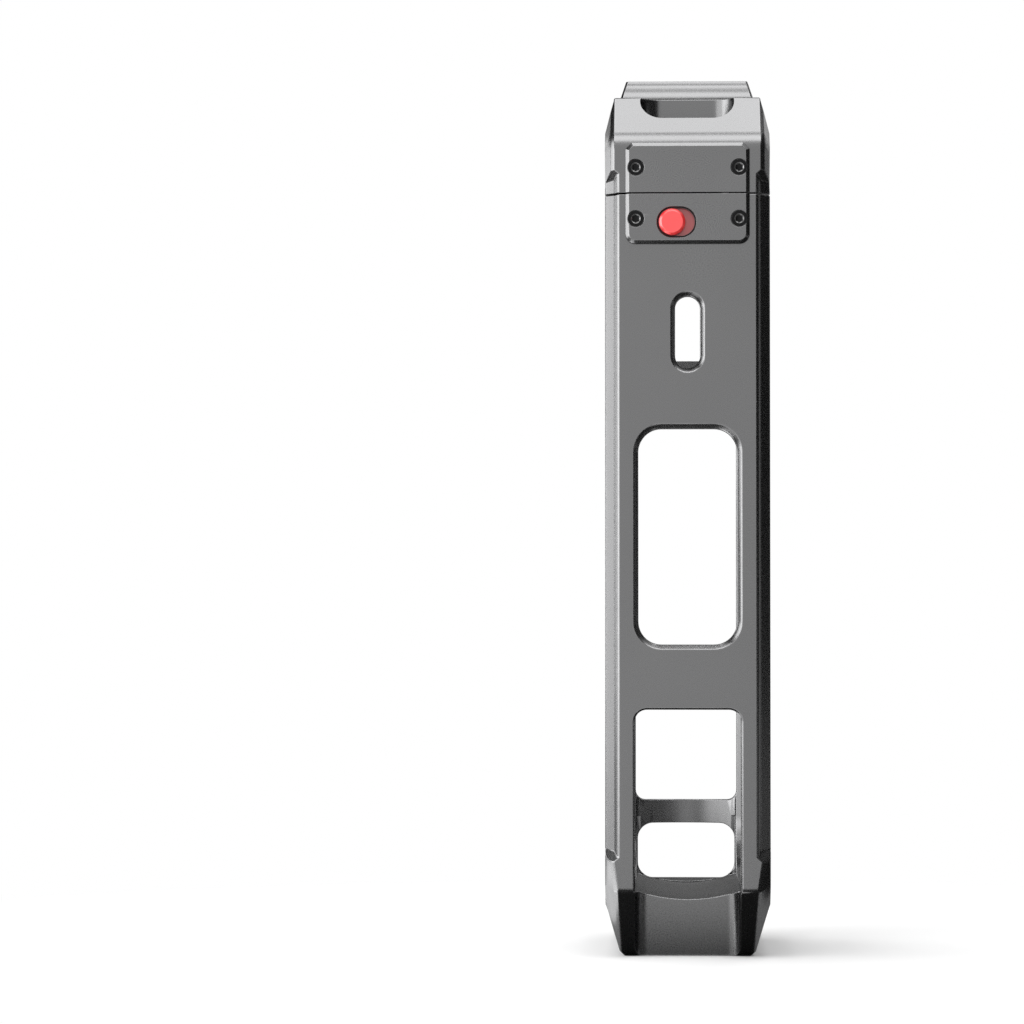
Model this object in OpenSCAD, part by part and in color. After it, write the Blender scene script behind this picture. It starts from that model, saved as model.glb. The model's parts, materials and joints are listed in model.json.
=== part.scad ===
// Camera cage: a tall aluminium frame for a pocket camera, with a hinged cap and a slide lock.
// The origin is the middle of the base, on the tripod thread. +Z is up, the lock is on the
// +X side and the hinge and the side shoe are on the -X side. All sizes are in millimetres.

/* [Cage] */
// Width over the two side walls
cage_w = 52.6; // [50:0.2:58]
// Depth from the front face to the back face
cage_d = 24.5; // [24:0.1:27]
// Height from the base to the top of the cap
cage_h = 128.3; // [110:0.1:140]
// Thickness of a side wall
wall = 3; // [2.9:0.1:3.6]
// Height of the floor that the camera stands on
floor_z = 9.9; // [9.4:0.1:11]
// Thickness of the cap's roof
roof_t = 4.8; // [4.4:0.1:5.6]
// Height of the cap above the seam
cap_h = 15.1; // [14.5:0.1:16.5]
// Gap of that seam
part_gap = 0.2; // [0.1:0.05:0.3]

/* [Camera space] */
// Radius of the camera space's four corners
space_r = 9; // [7:0.5:10]
// Depth of the flat band in the middle of the walls, floor and roof
band_d = 12; // [10:0.5:14]
// How far the rims close in on the camera at the front and back
rim_in = 2.4; // [1.5:0.1:2.8]
// Radius of the hollow along the floor
cradle_r = 24; // [20:1:30]
// Width of the hollow along the floor, and of the pocket under it
cradle_w = 15.7; // [14:0.1:16.5]
// How far the hollow lies below the floor
cradle_deep = 1.5; // [1.3:0.05:1.7]

/* [Outer form] */
// Height at which the side walls turn in to the slanted bottom corners
base_bend_z = 10.7; // [9:0.1:12]
// Slant of the bottom corners, in degrees from upright
base_slant = 40; // [38:1:43]
// Height at which the base starts to narrow
foot_z = 8; // [6:0.5:10]
// Depth of the base at the bottom
foot_d = 20.3; // [19:0.1:22]
// How far below the top the cap starts to narrow
brow_drop = 5.7; // [4.5:0.1:7]
// Depth of the cap's top face
brow_d = 21.7; // [21:0.1:22.5]
// Slope of the cap's corner on the lock side, in degrees from level
lock_slope = 42; // [38:1:46]
// Slope of the cap's corner on the hinge side, in degrees from level
hinge_slope = 47; // [43:1:50]
// Depth of the side faces between the grooves
face_d = 20.3; // [19.8:0.1:20.6]
// Depth of the side grooves below the side faces
groove_deep = 1.4; // [1:0.1:1.8]

/* [Hinge] */
// Diameter of the hinge pin
pin_d = 1.2; // [1:0.1:1.3]
// Width of the cap's hinge tab
tab_w = 11.5; // [10:0.1:13]
// Radial clearance of the pin in the cap
pin_run = 0.05; // [0.03:0.01:0.08]
// Wire of the hinge spring
hinge_wire = 0.3; // [0.2:0.02:0.32]
// Turns of the hinge spring
hinge_turns = 3; // [2:1:3]

/* [Lock] */
// Travel of the slide lock
lock_travel = 1.3; // [1.2:0.05:1.5]
// Diameter of the button
button_d = 3.9; // [3.4:0.1:4.1]
// Width of the two lock plates
plate_w = 18.36; // [17.6:0.1:18.8]
// Thickness of the lock plates
plate_t = 0.9; // [0.7:0.05:1.2]

/* [Shoes] */
// Width of the slot in both accessory shoes
shoe_slot_w = 18.6; // [18.5:0.05:18.8]
// Height of the slot in both accessory shoes
shoe_slot_h = 2; // [1.9:0.05:2.2]
// Thickness of the shoes' lips
shoe_lip_t = 1.5; // [1.2:0.1:1.8]
// Depth of the top shoe, front to back
top_shoe_d = 20.1; // [19:0.1:20.6]
// Length of the side shoe's rails
side_rail_l = 16.9; // [16:0.1:18]

/* [Windows] */
// Width of the tall window in the hinge wall
tall_window_w = 16; // [14:0.5:16.5]
// Width of the window between the side shoe's rails
shoe_window_w = 12; // [10:0.5:14]
// Width of the low window in the hinge wall
low_window_w = 15.35; // [14:0.05:16]
// Width of the screen window in the lock wall
screen_window_w = 14.6; // [12:0.1:16]
// Length of the small slot in the lock wall
wrist_slot_l = 10.7; // [9:0.1:13]
// Length of the slots in the cap's corners, front to back
mic_slot_l = 13.9; // [12:0.1:15]

/* [Tripod thread] */
// Bore of the tripod thread
thread_d = 5.2; // [5:0.05:5.4]
// Depth of the tripod thread
thread_deep = 6; // [5:0.5:6.5]

/* [Hidden] */
$fn = 96;

// One overrun serves every cut, and one long reach serves every half space
over = 1;
far = 60;
// Half the flat that is left at the end of a round-ended slot
slot_flat = 0.02;

// The outer form
hx = cage_w / 2;
hy = cage_d / 2;
part_z = cage_h - cap_h;
body_top = part_z - part_gap / 2;
cap_bottom = part_z + part_gap / 2;
foot_chamfer = 0.75;
base_bend_r = 1.9;
toe = 0.9;
mitre_reach = 2;
land_in = 2.9;
edge_chamfer = 0.55;
cap_face_y = brow_d / 2;
base_face_y = 10.35;
wall_edge_lean = 8.5;
foot_edge_lean = 3.2;
bend_r = 4.2;
brow_z = cage_h - brow_drop;
lock_bend_drop = 8.7;
hinge_bend_drop = 9.8;
lock_bend_z = cage_h - lock_bend_drop;
hinge_bend_z = cage_h - hinge_bend_drop;

// The grooves in the side walls
groove_y = face_d / 2;
groove_chamfer = 0.35;
groove_run = 0.7;
groove_lip_in = 2.7;
groove_lip_y = 0.2;
groove_low_z = 15.15;
groove_high_rise = 2.9;
groove_high_z = part_z + groove_high_rise;
groove_spare = 5.6;
groove_end_tilt = 53.4;
groove_end_turn = 40.5;

// The camera space
ix = hx - wall;
band_y = band_d / 2;
roof_z = cage_h - roof_t;
rim_rate = rim_in / (hy - band_y);
space_reach = rim_in + rim_rate * over;
cradle_z = floor_z - cradle_deep;
cradle_y = cradle_w / 2;
hollow_r = 16;
hollow_deep = 1.7;
hollow_top = 30;
hollow_reach = 4;

// The pocket under the lock wall and the windows' heights
pocket_deep = 9.1;
pocket_top = 36.9;
pocket_r = 1.8;
pocket_corner_r = 2;
pocket_chamfer = 0.25;
window_reach = 6;
shoe_window_r = 2;
shoe_window_chamfer = 0.65;
tall_window_r = 1.5;
tall_window_chamfer = 0.3;
low_window_z = [9, 17.7];
tall_window_low_z = 21.4;
tall_window_top_gap = 1.1;
low_window_r = 2.4;
low_window_chamfer = 0.5;
screen_window_low_gap = 9.6;
screen_window_top_gap = 8.95;
screen_window_r = 3.4;
screen_window_chamfer = 0.7;
wrist_slot_w = 3.67;
wrist_slot_drop = 20.5;
wrist_slot_z = part_z - wrist_slot_drop;
screen_window_z = [
    pocket_top + screen_window_low_gap,
    wrist_slot_z - wrist_slot_l / 2 - screen_window_top_gap,
];
wrist_slot_chamfer = 0.66;
mic_slot_w = 6.4;
mic_slot_in = 7;
mic_slot_x = hx - mic_slot_in;

// The hinge
hinge_in = 1.5;
hinge_drop = 1.5;
hinge_x = -hx + hinge_in;
hinge_z = part_z - hinge_drop;
pin_r = pin_d / 2;
pin_seat = 0.02;
pin_l = 21.2;
tab_y = tab_w / 2;
tab_drop = 1.1;
tab_low_z = hinge_z - tab_drop;
tab_side_gap = 0.15;
notch_y = tab_y + tab_side_gap;
notch_drop = 2.6;
notch_low_z = hinge_z - notch_drop;
notch_r = 1;
spring_slot_w = 2.95;
spring_slot_rise = 1.1;
spring_slot_top = hinge_z + spring_slot_rise;
spring_room_r = 1.3;
spring_room_y = 1.4;
ear_r = sqrt(pow(hinge_in, 2) + pow(body_top - hinge_z, 2));
ear_room_r = sqrt(pow(hinge_in, 2) + pow(cap_bottom - hinge_z, 2));
rim_gap_low = 0.2;
rim_gap_high = 0.3;
rim_gap_y = 11.2;
rim_gap_in = [1.3, 6.3];
coil_r = 0.95;
coil_pitch = 0.75;
coil_rings = 8;
coil_sides = 6;
coil_leg = 1.1;
coil_stub = 0.5;

// The shoes
shoe_gap = 13.6;
shoe_leg_t = 1;
shoe_bevel = 0.5;
rail_half = shoe_slot_w / 2 + shoe_leg_t;
rail_below_notch = 0.9;
side_shoe_z = notch_low_z - rail_below_notch - rail_half;
side_rail_straight = 1.5;
rail_cut = rail_half - shoe_gap / 2 - side_rail_straight;
shoe_window_low_gap = 6.7;
shoe_window_top_gap = 6.1;
shoe_window_z = [side_shoe_z - shoe_window_low_gap, side_shoe_z + shoe_window_top_gap];
tall_window_z = [tall_window_low_z, side_shoe_z - rail_half - tall_window_top_gap];
top_shoe_floor_t = 1;
top_shoe_leg_t = 1.2;
top_shoe_gap = 13.2;
top_shoe_fit = 0.03;
top_shoe_end_in = 0.87;
top_shoe_end_h = 0.6;
shoe_flare_r = 5.6;
shoe_flare_lean = 24;
shoe_flare_edge = 0.3;
shoe_out = shoe_slot_h + shoe_lip_t;
top_shoe_w = shoe_slot_w + 2 * top_shoe_leg_t;
shoe_flare_h = shoe_out - shoe_bevel - shoe_flare_edge;
shoe_flare_low_lean = asin(sin(shoe_flare_lean) + shoe_flare_h / shoe_flare_r);
shoe_flare_x = top_shoe_w / 2 + shoe_flare_r * (cos(shoe_flare_lean) - cos(shoe_flare_low_lean));
shoe_screw_y = 5.5;
shoe_screw_head_r = 1.9;
shoe_screw_head_h = 0.9;
shoe_screw_r = 0.95;
shoe_screw_l = 2.9;
shoe_screw_reach = top_shoe_floor_t + shoe_screw_l;
shoe_screw_hex_r = 0.75;
shoe_screw_hex_deep = 0.6;

// The cap's pad
pad_l = 26;
pad_w = 8.6;
pad_t = 0.8;
pad_proud = 0.25;
pad_r = 1.5;

// The lock plates and their screws
plate_bevel = 0.53;
plate_y = plate_w / 2;
latch_drop = 7.5;
strike_rise = 7.5;
latch_low = part_z - latch_drop;
strike_high = part_z + strike_rise;
latch_r = 1.5;
strike_cut = 0.95;
plate_screw_y = 7.64;
plate_screw_z = 3.8;
plate_sink_r = 1.25;
plate_sink_deep = 0.5;
plate_head_r = 1.2;
plate_head_h = 0.42;
plate_screw_r = 0.68;
plate_screw_in = 2.3;
plate_hex_r = 0.62;
plate_hex_deep = 0.3;
plate_mouth_r = 0.68;
plate_mouth_deep = 0.13;
screw_fit = 0.02;

// The slide lock, about the height of its button
lock_drop = 4.3;
lock_z = part_z - lock_drop;
slot_l = 5.85;
slot_h = 4.57;
slot_y = -1.62;
button_y = slot_y - lock_travel / 2;
button_r = button_d / 2;
button_out = 1.7;
button_chamfer = 0.36;
button_stem_r = 0.8;
button_stem_l = 1.2;
channel_deep = 2;
channel_y = 6.35;
channel_h = 5.1;
slide_gap = 0.15;
slider_y = [-6, 1.6];
tooth_l = 1.5;
tooth_z = [-0.35, 1.2];
tooth_x = [1.1, 0.3];
hook_room_y = [3.1, 6.25];
hook_head_y = 6.1;
hook_head_z = [1.4, 5.4];
hook_head_gap = 0.1;
hook_seat_in = 1.1;
hook_head_under = 0.05;
hook_tongue_t = 0.75;
hook_stem_w = 1;
hook_nose_y = 3.4;
hook_nose_z = [-1.6, -0.6];
click_y = -1;
click_l = 3.6;
click_t = 0.12;
click_rise = 0.06;
click_foot = 0.4;
click_bump_r = 0.5;
click_room_h = 0.37;
click_room_l = 4;
click_in = [0.4, 1.7];
dimple_gap = 0.12;

// Outline drawn in Y and Z, carried along X
module x_prism(x0, x1) {
    translate([x0, 0, 0]) rotate([90, 0, 90]) linear_extrude(x1 - x0) children();
}

// Outline drawn in X and Z, carried along Y
module y_prism(y0, y1) {
    translate([0, y1, 0]) rotate([90, 0, 0]) linear_extrude(y1 - y0) children();
}

// A range moved along by a place
function moved(place, range) = [place + range[0], place + range[1]];

module box(x, y, z) {
    translate([x[0], y[0], z[0]]) cube([x[1] - x[0], y[1] - y[0], z[1] - z[0]]);
}

module rounded_rect(w, h, r) {
    square([w - 2 * r, h], center = true);
    square([w, h - 2 * r], center = true);
    for (x = [-1, 1], y = [-1, 1])
        translate([x * (w / 2 - r), y * (h / 2 - r)]) circle(r);
}

// Rounded rectangle whose sides lean in by its height b
module frustum(w, h, r, b) {
    rotate([90, 0, 0]) linear_extrude(h - 2 * r, center = true)
        polygon([[-w / 2, 0], [w / 2, 0], [w / 2 - b, b], [b - w / 2, b]]);
    rotate([90, 0, 90]) linear_extrude(w - 2 * r, center = true)
        polygon([[-h / 2, 0], [h / 2, 0], [h / 2 - b, b], [b - h / 2, b]]);
    for (x = [-1, 1], y = [-1, 1])
        translate([x * (w / 2 - r), y * (h / 2 - r), 0]) cylinder(h = b, r1 = r, r2 = r - b);
}

// Bevels along a convex outline's chosen edges, on a plate that stands on z = 0
module edge_bevels(points, edges, t, b) {
    for (i = edges) {
        p = points[i];
        q = points[(i + 1) % len(points)];
        translate([p[0], p[1], 0]) rotate([0, 0, atan2(q[1] - p[1], q[0] - p[0])])
            translate([-over, 0, 0]) rotate([90, 0, 90]) linear_extrude(norm(q - p) + 2 * over)
                polygon([[-over, t - b - over], [b + over, t + over], [-over, t + over]]);
    }
}

module both_faces() {
    children();
    mirror([0, 1, 0]) children();
}

module both_walls() {
    children();
    mirror([1, 0, 0]) children();
}

// What an edge loses, as depth below the face and place along Y: a chamfer, then the rim's slope
function edge_section(y0) = [
    [-over, y0 - over],
    [edge_chamfer, y0 + edge_chamfer],
    [land_in, hy],
    [land_in, hy + over],
    [-over, hy + over],
];

// The edge of a flat face that starts at x, z and leans in by an angle from upright
module line_edge(y0, x, z, lean, length) {
    translate([x, 0, z]) rotate([0, -lean, 0]) linear_extrude(length)
        polygon([for (p = edge_section(y0)) [-p[0], p[1]]]);
}

// The edge of a round face about x, z
module arc_edge(y0, x, z, r, a0, a1) {
    translate([x, 0, z]) rotate([90, 0, 0]) rotate([0, 0, a0]) rotate_extrude(angle = a1 - a0)
        polygon([for (p = edge_section(y0)) [r - p[0], -p[1]]]);
}

// Opening through a side wall, with a chamfer round its outer edge
module wall_opening(width, z, r, chamfer) {
    h = z[1] - z[0];
    c = chamfer + over;
    translate([hx + over, 0, (z[0] + z[1]) / 2]) rotate([0, -90, 0]) {
        linear_extrude(window_reach + over) rounded_rect(h, width, r);
        frustum(h + 2 * c, width + 2 * c, r + c, c);
    }
}

// The space for the camera, from the cradle in the floor to the roof
module camera_space() {
    reach_y = hy + over;
    cx = ix - space_r;
    low_z = floor_z + space_r;
    high_z = roof_z - space_r;
    x_prism(-cx, cx) polygon([
        [-reach_y, floor_z + space_reach], [-band_y, floor_z],
        [band_y, floor_z], [reach_y, floor_z + space_reach],
        [reach_y, roof_z - space_reach], [band_y, roof_z],
        [-band_y, roof_z], [-reach_y, roof_z - space_reach],
    ]);
    translate([0, 0, low_z]) linear_extrude(high_z - low_z) polygon([
        [space_reach - ix, -reach_y], [-ix, -band_y], [-ix, band_y], [space_reach - ix, reach_y],
        [ix - space_reach, reach_y], [ix, band_y], [ix, -band_y], [ix - space_reach, -reach_y],
    ]);
    for (c = [[cx, low_z, 270], [-cx, low_z, 180], [cx, high_z, 0], [-cx, high_z, 90]])
        translate([c[0], 0, c[1]]) rotate([90, 0, 0]) rotate([0, 0, c[2]])
            rotate_extrude(angle = 90) polygon([
                [0, -reach_y], [space_r - space_reach, -reach_y], [space_r, -band_y],
                [space_r, band_y], [space_r - space_reach, reach_y], [0, reach_y],
            ]);
}

// The hollow along the floor, and the shallow hollow that meets it in the hinge wall
module cradle() {
    x_prism(-ix, ix) intersection() {
        translate([0, cradle_z + cradle_r]) circle(cradle_r);
        translate([-cradle_y, cradle_z]) square([cradle_w, floor_z + space_r - cradle_z]);
    }
    intersection() {
        translate([hollow_r - ix - hollow_deep, 0, floor_z])
            cylinder(h = hollow_top - floor_z, r = hollow_r);
        box([-hx, hollow_reach - ix], [-cradle_y, cradle_y], [0, hollow_top + over]);
    }
}

// The pocket that opens the lock wall down to the base
module lock_wall_pocket() {
    c = pocket_chamfer + over;
    x0 = hx - pocket_deep;
    intersection() {
        translate([0, 0, -over]) linear_extrude(pocket_top + 2 * over) {
            translate([x0 + pocket_corner_r, -cradle_y]) square([pocket_deep + over, cradle_w]);
            translate([x0, pocket_corner_r - cradle_y])
                square([pocket_deep, cradle_w - 2 * pocket_corner_r]);
            for (y = [-1, 1]) translate([x0 + pocket_corner_r, y * (cradle_y - pocket_corner_r)])
                circle(pocket_corner_r);
        }
        x_prism(0, hx + 2 * over) rounded_rect(cradle_w, 2 * pocket_top, pocket_r);
    }
    translate([hx + over, 0, 0]) rotate([0, -90, 0])
        frustum(2 * (pocket_top + c), cradle_w + 2 * c, pocket_r + c, c);
}

// The side groove at one corner, between its two slanted ends
module side_groove() {
    difference() {
        translate([0, 0, groove_low_z - groove_spare])
            linear_extrude(groove_high_z - groove_low_z + 2 * groove_spare) polygon([
                [hx + over, groove_y - over],
                [hx - groove_chamfer, groove_y + groove_chamfer],
                [hx - groove_deep, groove_y + groove_run],
                [hx - groove_lip_in, hy - groove_lip_y],
                [hx - land_in, hy],
                [hx - land_in, hy + over],
                [hx + over, hy + over],
            ]);
        for (end = [[groove_low_z, groove_end_tilt], [groove_high_z, 180 - groove_end_tilt]])
            translate([hx, groove_y, end[0]]) rotate([0, end[1], groove_end_turn])
                box([-far, far], [-far, far], [-far, 0]);
    }
}

module tripod_bore() {
    translate([0, 0, -over]) cylinder(h = thread_deep + over, d = thread_d);
}

module along_hinge(r, y0, y1) {
    translate([hinge_x, y1, hinge_z]) rotate([90, 0, 0]) cylinder(h = y1 - y0, r = r);
}

// Where the bottom corner's bend meets its slant, and where the slant meets the toe
base_bend_end = [
    hx - base_bend_r + base_bend_r * cos(base_slant),
    base_bend_z - base_bend_r * sin(base_slant),
];
toe_x = base_bend_end[0] - (base_bend_end[1] - toe) * tan(base_slant);

// The block of the body: flat sides, slanted bottom corners and a base that narrows
module body_block() {
    intersection() {
        y_prism(-hy, hy) {
            polygon([
                [hx, body_top], [hx, base_bend_z], base_bend_end, [toe_x, toe], [toe_x - toe, 0],
                [toe - toe_x, 0], [-toe_x, toe], [-base_bend_end[0], base_bend_end[1]],
                [-hx, base_bend_z], [-hx, body_top],
            ]);
            for (x = [-1, 1]) translate([x * (hx - base_bend_r), base_bend_z]) circle(base_bend_r);
        }
        x_prism(-hx - over, hx + over) polygon([
            [foot_chamfer - foot_d / 2, 0], [-foot_d / 2, foot_chamfer], [-hy, foot_z],
            [-hy, body_top + over], [hy, body_top + over],
            [hy, foot_z], [foot_d / 2, foot_chamfer], [foot_d / 2 - foot_chamfer, 0],
        ]);
    }
    // Round tops of the hinge ears
    intersection() {
        along_hinge(ear_r, -hy, hy);
        box([-hx, -ix], [-hy, hy], [hinge_z, part_z + ear_r]);
    }
}

// Turns an edge about the height of the bottom corner's bend, so that it leans in below it
module lean_below_bend(lean) {
    translate([0, base_face_y, base_bend_z]) rotate([-lean, 0, 0])
        translate([0, -base_face_y, -base_bend_z]) children();
}

// The edges of the base's corners, up the slant and up the wall, which meet at the bend
module base_corner_edges() {
    lift = 2 * (groove_low_z - base_bend_z);
    slant_l = norm([toe_x, toe] - base_bend_end);
    lean_below_bend(wall_edge_lean)
        line_edge(base_face_y, hx, base_bend_z - mitre_reach, 0, lift + mitre_reach);
    lean_below_bend(foot_edge_lean) translate([toe_x, 0, toe]) rotate([0, base_slant, 0])
        line_edge(base_face_y, 0, -mitre_reach, 0, slant_l + 2 * mitre_reach);
}

// Rail of the side shoe, drawn in Y and Z with its outer edge up
function rail_outline() = [
    [-side_rail_l / 2, rail_half],
    [-side_rail_l / 2, rail_half - side_rail_straight],
    [-side_rail_l / 2 + rail_cut, shoe_gap / 2],
    [side_rail_l / 2 - rail_cut, shoe_gap / 2],
    [side_rail_l / 2, rail_half - side_rail_straight],
    [side_rail_l / 2, rail_half],
];

module side_rail() {
    outline = rail_outline();
    translate([-hx, 0, side_shoe_z]) rotate([90, 0, -90]) {
        difference() {
            translate([0, 0, -wall / 2]) linear_extrude(shoe_out + wall / 2) polygon(outline);
            edge_bevels(outline, [0, 1, 3, 4, 5], shoe_out, shoe_bevel);
            translate([-far, 0, -wall]) cube([2 * far, shoe_slot_w / 2, shoe_slot_h + wall]);
        }
    }
}

// The pocket for the slide lock in the top of the lock wall
module lock_channel() {
    x = [hx - channel_deep, hx + over];
    low = lock_z - channel_h / 2;
    box(x, [-channel_y, channel_y], [low, low + channel_h]);
    box(x, hook_room_y, [lock_z, body_top + over]);
    box(x, [click_y - click_room_l / 2, click_y + click_room_l / 2], [low - click_room_h, lock_z]);
}

module plate_screw_holes(z) {
    for (y = [-1, 1]) translate([hx + over, y * plate_screw_y, z]) rotate([0, -90, 0])
        cylinder(h = plate_screw_in + over, r = plate_screw_r + screw_fit);
}

module body_frame() {
    color("dimgray") difference() {
        union() {
            difference() {
                body_block();
                camera_space();
                both_walls() both_faces() {
                    base_corner_edges();
                    side_groove();
                }
            }
            side_rail();
            translate([0, 0, 2 * side_shoe_z]) mirror([0, 0, 1]) side_rail();
        }
        cradle();
        lock_wall_pocket();
        mirror([1, 0, 0]) {
            wall_opening(shoe_window_w, shoe_window_z, shoe_window_r, shoe_window_chamfer);
            wall_opening(tall_window_w, tall_window_z, tall_window_r, tall_window_chamfer);
            wall_opening(low_window_w, low_window_z, low_window_r, low_window_chamfer);
        }
        wall_opening(screen_window_w, screen_window_z, screen_window_r, screen_window_chamfer);
        wall_opening(wrist_slot_w, moved(wrist_slot_z, [-wrist_slot_l / 2, wrist_slot_l / 2]),
            wrist_slot_w / 2 - slot_flat, wrist_slot_chamfer);
        tripod_bore();
        // Notch for the cap's tab, the pin's hole and the wider gap at the rims
        x_prism(-hx - over, -ix + hollow_reach) {
            translate([0, notch_low_z + far / 2]) rounded_rect(2 * notch_y, far, notch_r);
        }
        along_hinge(pin_r + pin_seat, -hy - over, hy + over);
        both_faces() box([rim_gap_in[0] - hx, rim_gap_in[1] - hx], [rim_gap_y, hy + over],
            [body_top - rim_gap_low, part_z + ear_r]);
        lock_channel();
        plate_screw_holes(part_z - plate_screw_z);
    }
}

// Where the bend meets the slope, and where the slope meets the top
function bend_end(z, slope) = [hx - bend_r + bend_r * sin(slope), z + bend_r * cos(slope)];
function slope_top(z, slope) = [
    bend_end(z, slope)[0] - (cage_h - bend_end(z, slope)[1]) / tan(slope), cage_h,
];

module cap_block() {
    lock_bend = bend_end(lock_bend_z, lock_slope);
    lock_top = slope_top(lock_bend_z, lock_slope);
    hinge_bend = bend_end(hinge_bend_z, hinge_slope);
    hinge_top = slope_top(hinge_bend_z, hinge_slope);
    intersection() {
        y_prism(-hy, hy) {
            polygon([
                [hx, cap_bottom], [hx, lock_bend_z], lock_bend, lock_top,
                [-hinge_top[0], cage_h], [-hinge_bend[0], hinge_bend[1]],
                [-hx, hinge_bend_z], [-hx, cap_bottom],
            ]);
            translate([hx - bend_r, lock_bend_z]) circle(bend_r);
            translate([bend_r - hx, hinge_bend_z]) circle(bend_r);
        }
        x_prism(-hx - over, hx + over) polygon([
            [-hy, 0], [-hy, brow_z], [-brow_d / 2, cage_h], [brow_d / 2, cage_h],
            [hy, brow_z], [hy, 0],
        ]);
    }
}

// The edges of one of the cap's corners, up the wall, round the bend and along the slope
module cap_corner_edges(bend_z, slope) {
    bend = bend_end(bend_z, slope);
    top = slope_top(bend_z, slope);
    line_edge(cap_face_y, hx, cap_bottom - over, 0, bend_z - cap_bottom + over);
    arc_edge(cap_face_y, hx - bend_r, bend_z, bend_r, 0, 90 - slope);
    line_edge(cap_face_y, bend[0], bend[1], 90 - slope, norm(top - bend) + over);
}

module mic_slots() {
    for (x = [-1, 1]) translate([x * mic_slot_x, 0, roof_z - space_r]) linear_extrude(far)
        rounded_rect(mic_slot_w, mic_slot_l, mic_slot_w / 2 - slot_flat);
}

module hinge_tab() {
    difference() {
        box([-hx, -ix], [-tab_y, tab_y], [tab_low_z, cap_bottom + over]);
        // Round inner corner, so that the tab turns clear of the camera
        difference() {
            box([hinge_x, -ix + over], [-tab_y - over, tab_y + over], [tab_low_z - over, hinge_z]);
            along_hinge(hinge_in, -hy, hy);
        }
    }
}

module cap_frame() {
    color("gray") difference() {
        union() {
            difference() {
                cap_block();
                camera_space();
                both_faces() {
                    cap_corner_edges(lock_bend_z, lock_slope);
                    mirror([1, 0, 0]) cap_corner_edges(hinge_bend_z, hinge_slope);
                }
                both_walls() both_faces() side_groove();
                // Room for the body's round ears as the cap turns
                both_faces() along_hinge(ear_room_r, tab_y, hy + over);
            }
            hinge_tab();
        }
        along_hinge(pin_r + pin_run, -hy - over, hy + over);
        along_hinge(spring_room_r, -spring_room_y, spring_room_y);
        x_prism(-hx - over, -ix + over)
            translate([0, spring_slot_top - far / 2])
                rounded_rect(spring_slot_w, far, spring_slot_w / 2 - slot_flat);
        both_faces() box([rim_gap_in[0] - hx, rim_gap_in[1] - hx], [rim_gap_y, hy + over],
            [cap_bottom - over, cap_bottom + rim_gap_high]);
        mic_slots();
        // Seat and tapped holes of the top shoe
        translate([0, 0, cage_h - top_shoe_floor_t]) linear_extrude(far)
            square([top_shoe_w + 2 * top_shoe_fit, top_shoe_d + 2 * top_shoe_fit], center = true);
        for (y = [-1, 1]) translate([0, y * shoe_screw_y, cage_h - shoe_screw_reach - screw_fit])
            cylinder(h = far, r = shoe_screw_r + screw_fit);
        // Seat of the pad in the roof
        translate([0, 0, roof_z - over]) linear_extrude(pad_t - pad_proud + over)
            rounded_rect(pad_l + 2 * slide_gap, pad_w + 2 * slide_gap, pad_r + slide_gap);
        // Seat of the hook, and its way down through the seam
        box([hx - hook_seat_in, hx + over], [-hook_head_y - hook_head_gap, hook_room_y[1]],
            moved(part_z, hook_head_z + [-hook_head_gap, hook_head_gap]));
        box([hx - hook_seat_in, hx + over], [hook_head_y - hook_stem_w - hook_head_gap, hook_room_y[1]],
            [cap_bottom - over, part_z + hook_head_z[1]]);
        plate_screw_holes(part_z + plate_screw_z);
    }
}

// Half of the top shoe above the cap, with a hollow side that flares out to the bottom
module top_shoe_side() {
    edge = [top_shoe_w / 2, cage_h + shoe_out - shoe_bevel];
    difference() {
        polygon([
            [0, cage_h], [shoe_flare_x, cage_h], [shoe_flare_x, cage_h + shoe_flare_edge],
            edge, edge + [-shoe_bevel, shoe_bevel], [0, cage_h + shoe_out],
        ]);
        translate(edge + shoe_flare_r * [cos(shoe_flare_lean), sin(shoe_flare_lean)])
            circle(shoe_flare_r);
    }
}

module top_shoe() {
    z0 = cage_h - top_shoe_floor_t;
    z1 = cage_h + shoe_out;
    color("darkgray") difference() {
        intersection() {
            y_prism(-top_shoe_d, top_shoe_d) difference() {
                union() {
                    translate([-top_shoe_w / 2, z0]) square([top_shoe_w, top_shoe_floor_t + over]);
                    top_shoe_side();
                    mirror([1, 0]) top_shoe_side();
                }
                translate([-shoe_slot_w / 2, cage_h]) square([shoe_slot_w, shoe_slot_h]);
                translate([-top_shoe_gap / 2, cage_h]) square([top_shoe_gap, shoe_out + over]);
            }
            x_prism(-top_shoe_w, top_shoe_w) polygon([
                [-top_shoe_d / 2, z0], [top_shoe_d / 2, z0],
                [top_shoe_d / 2, cage_h + top_shoe_end_h],
                [top_shoe_d / 2 - top_shoe_end_in, z1], [top_shoe_end_in - top_shoe_d / 2, z1],
                [-top_shoe_d / 2, cage_h + top_shoe_end_h],
            ]);
        }
        for (y = [-1, 1]) translate([0, y * shoe_screw_y, 0]) {
            translate([0, 0, z0 - over]) cylinder(h = 2 * over, r = shoe_screw_r + screw_fit);
            translate([0, 0, cage_h - shoe_screw_head_h])
                cylinder(h = shoe_screw_head_h, r1 = shoe_screw_r + screw_fit, r2 = shoe_screw_head_r);
        }
    }
}

module top_shoe_screws() {
    color("black") for (y = [-1, 1]) translate([0, y * shoe_screw_y, 0]) difference() {
        union() {
            translate([0, 0, cage_h - shoe_screw_head_h]) cylinder(
                h = shoe_screw_head_h, r1 = shoe_screw_r, r2 = shoe_screw_head_r - screw_fit);
            translate([0, 0, cage_h - shoe_screw_reach])
                cylinder(h = shoe_screw_reach - shoe_screw_head_h / 2, r = shoe_screw_r);
        }
        translate([0, 0, cage_h - shoe_screw_hex_deep])
            cylinder(h = far, r = shoe_screw_hex_r, $fn = 6);
    }
}

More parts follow.
